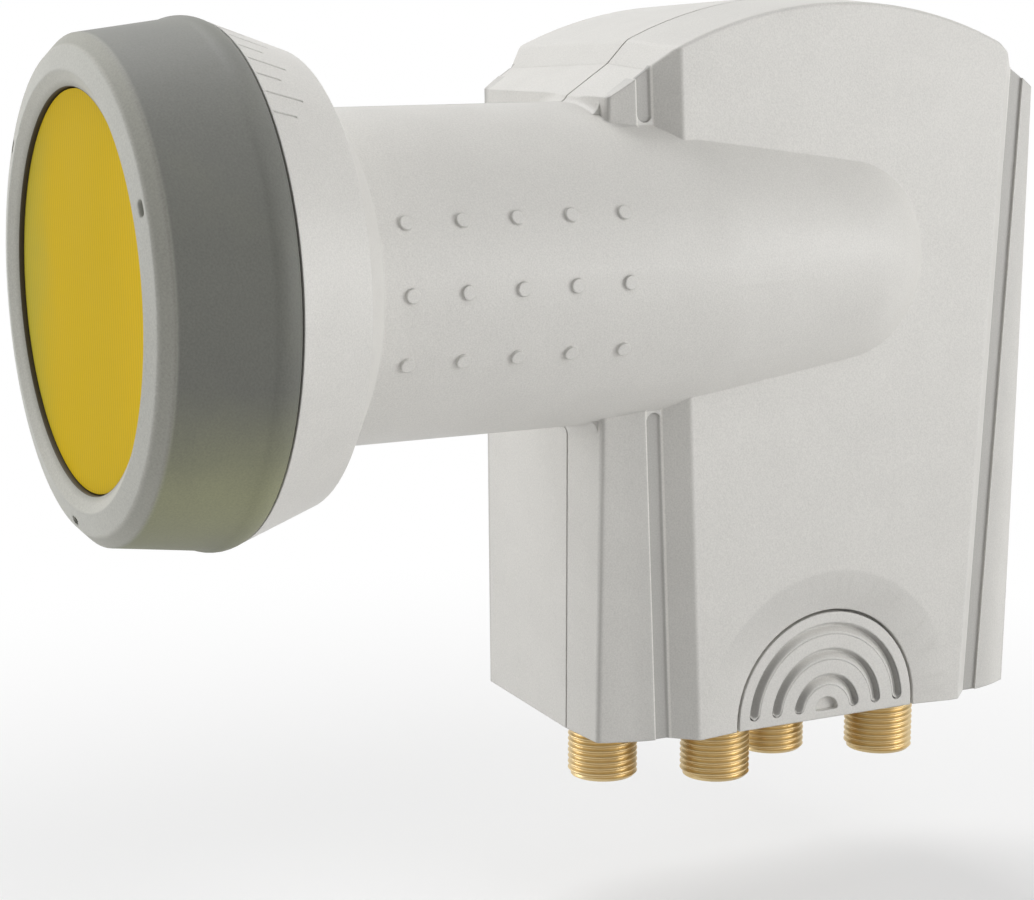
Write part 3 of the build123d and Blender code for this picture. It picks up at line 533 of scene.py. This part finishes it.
# Painted shade towards the far edge, painted light towards the near one.
ground = window_finish.blend(window_finish.step(drifted, *GREEN_START), WINDOW_GOLD, WINDOW_GREEN_SHADE)
ground = window_finish.blend(window_finish.step(drifted, *ORANGE_START), ground, WINDOW_ORANGE_LIGHT)
lined = window_finish.tone(ground, 0.94 + 0.12 * lines)
window_finish.feed(**{"Base Color": lined, "Roughness": 0.46 + 0.10 * window_cloud})
window_finish.relief(lines, LINE_DEPTH, 0.3)
print("window lines per metre:", LINES_PER_METRE)

# %% [markdown]
# ## Smooth skins over the mouldings
# A packed solid is a mesh of loose triangles. A copy with its points merged, its flat areas joined and its
# normals weighted by area shades like the moulding: flat where it is flat and round where it is round.

# %% Skin the visible mouldings
CREASE = math.radians(31)
FLAT = math.radians(0.3)
MERGE = 0.004 * MM


def bare(mesh, finish, crease):
    """Smooth shading up to a crease angle, and one material."""
    for name in ("custom_normal", "sharp_face", "sharp_edge"):
        if name in mesh.attributes:
            mesh.attributes.remove(mesh.attributes[name])
    mesh.shade_smooth()
    mesh.set_sharp_from_angle(angle=crease)
    mesh.materials.clear()
    mesh.materials.append(finish.material)


def baked(piece, modifier):
    """Plain mesh of a piece as its modifier leaves it, and the modifier is gone."""
    final = bpy.data.meshes.new_from_object(piece.evaluated_get(bpy.context.evaluated_depsgraph_get()))
    piece.modifiers.remove(modifier)
    piece.data = final
    return final


def skin(node, finish):
    """Merged and smoothly shaded copy of a solid, which stands for it."""
    mesh = bpy.data.meshes.new(node + "_skin")
    work = bmesh.new()
    work.from_mesh(nodes[node].data)
    bmesh.ops.remove_doubles(work, verts=work.verts, dist=MERGE)
    bmesh.ops.dissolve_limit(
        work, angle_limit=FLAT, verts=work.verts, edges=work.edges, use_dissolve_boundaries=False
    )
    work.to_mesh(mesh)
    work.free()
    bare(mesh, finish, CREASE)
    piece = bpy.data.objects.new(node + "_skin", mesh)
    bpy.context.collection.objects.link(piece)
    weighted = piece.modifiers.new("weighted", "WEIGHTED_NORMAL")
    weighted.keep_sharp = True
    final = baked(piece, weighted)
    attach(piece, nodes[node]["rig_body"])
    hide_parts(node)
    print(node, "faces:", len(final.polygons))


skin("right_shell", shell_finish)
skin("left_shell", shell_finish)
skin("weather_sleeve", sleeve_finish)
skin("cap_ring", cap_finish)
skin("feed_window", window_finish)

# %% [markdown]
# ## Gold plate
# The sockets, their contacts and the probes are gold plated. Real plating is even in colour, a little
# cloudy in its gloss, and darker where the lathe left fine rings. A slow and a fine noise give that.

# %% Finish the gold
SOCKET_GOLD = (0.700, 0.545, 0.295)
CONTACT_GOLD = (0.760, 0.570, 0.270)
GOLD_CLOUD_SIZE = 420
RING_SIZE = 9000
RING_DEPTH = 0.02 * MM


def plated(name, tint, roughness):
    """Plated metal with a cloudy gloss and fine turned rings."""
    finish = Finish(name, tint, roughness, 1.0)
    cloud = finish.noise(GOLD_CLOUD_SIZE, 3.0)
    along = finish.vector("MULTIPLY", finish.place(), (0.05, 0.05, 1))
    ring = finish.noise(RING_SIZE, 2.0, along)
    mixed = swing(cloud, 0.9, ring, 0.5) + 0.5
    colour = finish.blend(mixed, times(tint, 0.82), times(tint, 1.12))
    finish.feed(**{"Base Color": colour, "Roughness": roughness + 0.20 * (cloud - 0.5)})
    finish.relief(ring, RING_DEPTH, 0.3)
    return finish


socket_finish = plated("gold_socket", SOCKET_GOLD, 0.38)
contact_finish = plated("gold_contact", CONTACT_GOLD, 0.30)
print("gold:", socket_finish.material.name, contact_finish.material.name)

# %% [markdown]
# ## A former for what repeats
# The threads and the grip's grooves both come from one section that is carried round. A Former is a desk on a
# Geometry Nodes tree. It instances a grid along a line, one copy for each repeat, and the rows of each grid
# take their numbers from the points of the section. What each tree adds is where those rows go.

# %% A former
SPREAD = 10.0
JOIN = 0.002 * MM


def draw_section(name, rows, columns):
    """Open polyline from rows of numbers: two places and one weight for each further column."""
    mesh = bpy.data.meshes.new(name)
    points = [(row[0] * MM, 0, row[1] * MM) for row in rows]
    mesh.from_pydata(points, [(k, k + 1) for k in range(len(rows) - 1)], [])
    for place, column in enumerate(columns):
        weights = mesh.attributes.new(column, "FLOAT", "POINT")
        weights.data.foreach_set("value", [row[2 + place] for row in rows])
    piece = bpy.data.objects.new(name, mesh)
    bpy.context.collection.objects.link(piece)
    return piece


class Former(Desk):
    """A Geometry Nodes tree that carries a section round, as often as Count says."""

    def __init__(self, name, sizes):
        self.sizes = sizes
        super().__init__(bpy.data.node_groups.new(name, "GeometryNodeTree"))
        self.tree.interface.new_socket("Section", in_out="INPUT", socket_type="NodeSocketGeometry")
        for label, (kind, value) in sizes.items():
            self.tree.interface.new_socket(label, in_out="INPUT", socket_type="NodeSocket" + kind)
        self.tree.interface.new_socket("Piece", in_out="OUTPUT", socket_type="NodeSocketGeometry")
        labels = ("Section", *sizes)
        self.given = dict(zip(labels, self.node("NodeGroupInput", output=labels)))
        around, rows = self.given["Around"] + 1, self.given["Rows"]
        size = {"Size X": 1.0, "Size Y": 1.0, "Vertices X": around, "Vertices Y": rows}
        grid = self.node("GeometryNodeMeshGrid", sockets=size, output="Mesh")
        line = {"Count": self.given["Count"], "Offset": (SPREAD, 0, 0)}
        points = self.node("GeometryNodeMeshLine", sockets=line)
        copies = self.node("GeometryNodeInstanceOnPoints", sockets={"Points": points, "Instance": grid})
        self.sheet = self.node("GeometryNodeRealizeInstances", sockets={"Geometry": copies})
        self.place = self.node("GeometryNodeInputPosition")
        across, along = self.axes(self.place)[:2]
        self.number = (across / SPREAD).math("ROUND")
        self.turn = across - SPREAD * self.number + 0.5
        self.row = (along + 0.5) * (rows - 1) + 0.5

    def sample(self, kind, value):
        """Value at the section's point that belongs to this row."""
        reads = {"Geometry": self.given["Section"], "Value": value, "Index": self.row}
        return self.node("GeometryNodeSampleIndex", {"data_type": kind, "domain": "POINT"}, reads, "Value")

    def weight(self, name):
        """Weight that the section carries under this name."""
        kind = {"data_type": "FLOAT"}
        named = self.node("GeometryNodeInputNamedAttribute", kind, {"Name": name}, "Attribute")
        return self.sample("FLOAT", named)

    def form(self, piece, x, y, z, finish, crease):
        """Puts the rows in their places and turns the piece into a plain closed mesh."""
        spot = self.node("ShaderNodeCombineXYZ", sockets={"X": x, "Y": y, "Z": z})
        moved = self.node("GeometryNodeSetPosition", sockets={"Geometry": self.sheet, "Position": spot})
        joined = self.node("GeometryNodeMergeByDistance", sockets={"Geometry": moved, "Distance": JOIN})
        real = self.node("GeometryNodeRealizeInstances", sockets={"Geometry": joined})
        coat = {"Geometry": real, "Material": self.given["Finish"]}
        coated = self.node("GeometryNodeSetMaterial", sockets=coat)
        result = self.tree.nodes.new("NodeGroupOutput")
        self.put(result.inputs["Piece"], coated)
        modifier = piece.modifiers.new("former", "NODES")
        modifier.node_group = self.tree
        for item in self.tree.interface.items_tree:
            if item.name in self.sizes:
                modifier[item.identifier] = self.sizes[item.name][1]
        mesh = baked(piece, modifier)
        work = bmesh.new()
        work.from_mesh(mesh)
        bmesh.ops.recalc_face_normals(work, faces=work.faces)
        open_edges = sum(not edge.is_manifold for edge in work.edges)
        work.to_mesh(mesh)
        work.free()
        bare(mesh, finish, crease)
        print(piece.name, "faces:", len(mesh.polygons), "open edges:", open_edges)


print("former ready, copies apart by", SPREAD)

# %% [markdown]
# ## Threaded sockets
# Each socket is turned from one bar: a threaded nose, a hexagon flange and a plain spigot round a bore. The
# former rolls each grid up into a ring. The rows of the thread move in and out along a helix, the rows of the
# flange follow a hexagon, and every second socket is set aside from the row.

# %% Turn the sockets
THREAD_CREST = 4.7
THREAD_PITCH = 25.4 / 32
THREAD_DEPTH = 0.42
ROWS_PER_TURN = 12
TIP = -70.9
THREAD_ENDS = (-70.5, -60.1)
BORE = 2.95
NOSE = 4.3
SPIGOT = 4.2
FLANGE_HALF = 5.5
FLANGE_SIDES = 6
FLANGE = (-59.6, -58.1)
SPIGOT_TOP = -51.5
SOCKET_CREASE = math.radians(50)

thread_rows = round((THREAD_ENDS[1] - THREAD_ENDS[0]) / THREAD_PITCH * ROWS_PER_TURN)
thread_step = (THREAD_ENDS[1] - THREAD_ENDS[0]) / thread_rows
bar = [(BORE, TIP, 0, 0), (NOSE, TIP, 0, 0)]
bar += [(THREAD_CREST, THREAD_ENDS[0] + row * thread_step, 1, 0) for row in range(thread_rows + 1)]
bar += [(SPIGOT, THREAD_ENDS[1], 0, 0), (SPIGOT, FLANGE[0], 0, 0)]
bar += [(FLANGE_HALF, FLANGE[0], 0, 1), (FLANGE_HALF, FLANGE[1], 0, 1)]
bar += [(SPIGOT, FLANGE[1], 0, 0), (SPIGOT, SPIGOT_TOP, 0, 0), (BORE, SPIGOT_TOP, 0, 0), (BORE, TIP, 0, 0)]

sockets = draw_section("threaded_sockets", bar, ("thread", "flat"))
lathe = Former("turned_sockets", {
    "Around": ("Int", 48),
    "Rows": ("Int", len(bar)),
    "Count": ("Int", 4),
    "Thread Pitch": ("Float", THREAD_PITCH * MM),
    "Thread Depth": ("Float", THREAD_DEPTH * MM),
    "First X": ("Float", -11.9 * MM),
    "First Y": ("Float", 29.1 * MM),
    "Row Pitch": ("Float", 40.3 / 3 * MM),
    "Stagger": ("Float", 7.0 * MM),
    "Finish": ("Material", socket_finish.material),
})
given = lathe.given
plain_radius, height = lathe.axes(lathe.sample("FLOAT_VECTOR", lathe.place))[::2]
phase = (height / given["Thread Pitch"] - lathe.turn) * math.tau
ridge = 0.5 - 0.5 * phase.math("COSINE")
facet = ((lathe.turn * FLANGE_SIDES) % 1 - 0.5) * (math.tau / FLANGE_SIDES)
flat = lathe.weight("flat")
hexed = plain_radius / facet.math("COSINE") * flat + plain_radius * (1 - flat)
turned = hexed - lathe.weight("thread") * given["Thread Depth"] * ridge
angle = lathe.turn * math.tau
socket_x = given["First X"] + given["Stagger"] * (lathe.number % 2) + turned * angle.math("COSINE")
socket_y = given["First Y"] + given["Row Pitch"] * lathe.number + turned * angle.math("SINE")
lathe.form(sockets, socket_x, socket_y, height, socket_finish, SOCKET_CREASE)
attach(sockets, "housing")
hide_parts("connector_1", "connector_2", "connector_3", "connector_4")

# %% [markdown]
# ## Scooped grip grooves
# On the real thumb grips the grooves are scoops, steep outside and gentle inside, while the solid has square
# slots. A scoop is set into each slot: a bed whose top dips in a smooth curve. The former bends it into an
# arc, and at its ends the dip closes in a half circle like the slot does. The walls that face the horn get
# painted shade: their finish darkens by the surface's own direction.

# %% Set the scoops into the slots
# Painted shade: how much darker the scoop walls that face the horn are made.
SCOOP_SHADE = 0.52
SCOOP_HALF = 0.73
SCOOP_DIP = 0.9
SCOOP_DEEPEST = 0.42
SCOOP_BED = 1.38
SCOOP_STEPS = 20
SCOOP_CREASE = math.radians(60)

scoop_finish, scoop_colour = satin_grey("satin_grey_scoop", SHELL_GREY)
facing = scoop_finish.axes(scoop_finish.node("ShaderNodeNewGeometry", output="Normal"))[1]
# Painted shade on the scoop walls that face the horn, read from the surface's own direction.
scoop_painted_shade = 1 - SCOOP_SHADE * scoop_finish.step(0 - facing, 0.20, 0.70)
scoop_finish.feed(**{"Base Color": scoop_finish.tone(scoop_colour, scoop_painted_shade)})

bed = []
for step in range(SCOOP_STEPS + 1):
    across = 2 * step / SCOOP_STEPS - 1
    run = 1 + SCOOP_DEEPEST if across < SCOOP_DEEPEST else 1 - SCOOP_DEEPEST
    fall = 0.5 + 0.5 * math.cos(math.pi * (across - SCOOP_DEEPEST) / run)
    bed.append((across * SCOOP_HALF, SCOOP_DIP * fall, 1))
bed += [(SCOOP_HALF, SCOOP_BED, 0), (-SCOOP_HALF, SCOOP_BED, 0), bed[0]]

scoops = draw_section("grip_scoops", bed, ("dip",))
bender = Former("bent_scoops", {
    "Around": ("Int", 56),
    "Rows": ("Int", len(bed)),
    "Count": ("Int", 6),
    "First Radius": ("Float", 11.15 * MM),
    "Pitch": ("Float", 3.4 * MM),
    "End Rise": ("Float", 1.0 * MM),
    "Half Width": ("Float", SCOOP_HALF * MM),
    "Face": ("Float", 20.0 * MM),
    "Finish": ("Material", scoop_finish.material),
})
given = bender.given
sideways = 1 - 2 * (bender.number % 2)
ring = (bender.number / 2).math("FLOOR")
bend = given["First Radius"] - given["Pitch"] * ring
lift = given["End Rise"] / bend
begin = lift.math("ARCSINE")
length = bend * (math.pi - 2 * begin)
walked = bender.turn * (length + 2 * given["Half Width"]) - given["Half Width"]
beyond = (0 - walked).math("MAXIMUM", walked - length) / given["Half Width"]
ended = beyond.math("MAXIMUM", 0).math("MINIMUM", 1)
narrow = (1 - ended * ended).math("SQRT")
offset, depth = bender.axes(bender.sample("FLOAT_VECTOR", bender.place))[::2]
dip = bender.weight("dip")
sunk = depth * (dip * narrow + 1 - dip)
radius = bend + offset * narrow
angle = begin + walked / bend
scoop_x = BODY_X + sideways * (given["Face"] - sunk)
scoop_y = BODY_Y + radius * angle.math("COSINE")
scoop_z = GRIP_Z + radius * angle.math("SINE")
bender.form(scoops, scoop_x, scoop_y, scoop_z, scoop_finish, SCOOP_CREASE)
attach(scoops, "sleeve")

# %% [markdown]
# ## The parts inside
# The casting, the board and what holds them are seen only when the housing is open, but they are finished
# like the rest. The solids stay as they are, and only their material slots change. A sand-like grain suits
# the casting, fine tracks suit the board, and rubber and bare plastic get a quiet mottle.

# %% Finish the casting and the screws
INNER_EDGE = 0.2 * MM
CAST_DEPTH = 0.06 * MM
PORTS = range(1, 5)


def cast_metal(name, tint, roughness, grain_scale):
    """Bright metal with a pebbled skin."""
    finish = Finish(name, tint, roughness, 1.0)
    grain = finish.noise(grain_scale, 2.0)
    cloud = finish.noise(90, 3.0)
    mixed = swing(grain, 0.8, cloud, 0.6) + 0.5
    colour = finish.blend(mixed, times(tint, 0.8), times(tint, 1.15))
    finish.feed(**{"Base Color": colour, "Roughness": roughness + 0.18 * (grain - 0.5)})
    finish.relief(grain, CAST_DEPTH, 0.5, edge=INNER_EDGE)
    return finish


def dress(finish, *names):
    """Gives a carried-over solid its finish."""
    for name in names:
        for slot in nodes[name].material_slots:
            slot.material = finish.material
    print(finish.material.name, "on", ", ".join(names))


dress(cast_metal("cast_alloy", (0.62, 0.62, 0.63), 0.48, 1500), "waveguide_chassis", "chassis_cover")
dress(cast_metal("zinc_screw", (0.66, 0.66, 0.62), 0.34, 2600), "cover_screws")
dress(contact_finish, "probe_horizontal", "probe_vertical", *[f"contact_{k}" for k in PORTS])

# %% Finish the board
BOARD_GREEN = (0.030, 0.125, 0.055)
TRACK_GREEN = (0.060, 0.220, 0.090)
TRACK_SIZE = 160.0
TRACK_DEPTH = 0.03 * MM
MASK_CLOUD_SIZE = 260
QUARTER_TURN = (0, 1.5708, 0)

board_finish = Finish("solder_mask", BOARD_GREEN, 0.35)
upright = {"Vector": board_finish.place(), "Rotation": QUARTER_TURN}
laid = board_finish.node("ShaderNodeMapping", sockets=upright)
bricks = {"Vector": laid, "Scale": TRACK_SIZE, "Mortar Size": 0.035, "Mortar Smooth": 0.3}
rows = {"offset": 0.37, "squash": 1.6, "squash_frequency": 3}
tracks = board_finish.node("ShaderNodeTexBrick", rows, bricks, "Fac")
mask_cloud = board_finish.noise(MASK_CLOUD_SIZE, 3.0)
mask = board_finish.blend(tracks, TRACK_GREEN, BOARD_GREEN)
worn = board_finish.tone(mask, 0.85 + 0.3 * mask_cloud)
board_finish.feed(**{"Base Color": worn, "Roughness": 0.28 + 0.16 * mask_cloud})
board_finish.relief(tracks, TRACK_DEPTH, 0.5)
dress(board_finish, "circuit_board")

# %% Finish the plastics and rubbers inside


def mottled(name, tint, roughness, grain_scale, depth):
    """Quiet plastic or rubber with a fine mottle."""
    finish = Finish(name, tint, roughness)
    grain = finish.noise(grain_scale, 2.0)
    cloud = finish.noise(200, 2.0)
    mixed = swing(grain, 0.8, cloud, 0.4) + 0.5
    colour = finish.blend(mixed, times(tint, 0.75), times(tint, 1.15))
    finish.feed(**{"Base Color": colour, "Roughness": roughness + 0.16 * (grain - 0.5)})
    finish.relief(grain, depth, 0.5, edge=INNER_EDGE)
    return finish


chip = mottled("moulded_chip", (0.028, 0.028, 0.030), 0.5, 5000, 0.02 * MM)
rubber = mottled("black_rubber", (0.026, 0.025, 0.024), 0.75, 2400, 0.05 * MM)
white = mottled("white_core", (0.74, 0.73, 0.69), 0.42, 1800, 0.02 * MM)
dress(chip, "board_chips")
dress(rubber, "cap_seal", "cover_gasket", "connector_seals")
dress(white, "probe_bushes", *[f"insulator_{k}" for k in PORTS])

# %% [markdown]
# ## Keep the numbers
# The skins, threads and scoops add nothing to the object's size.
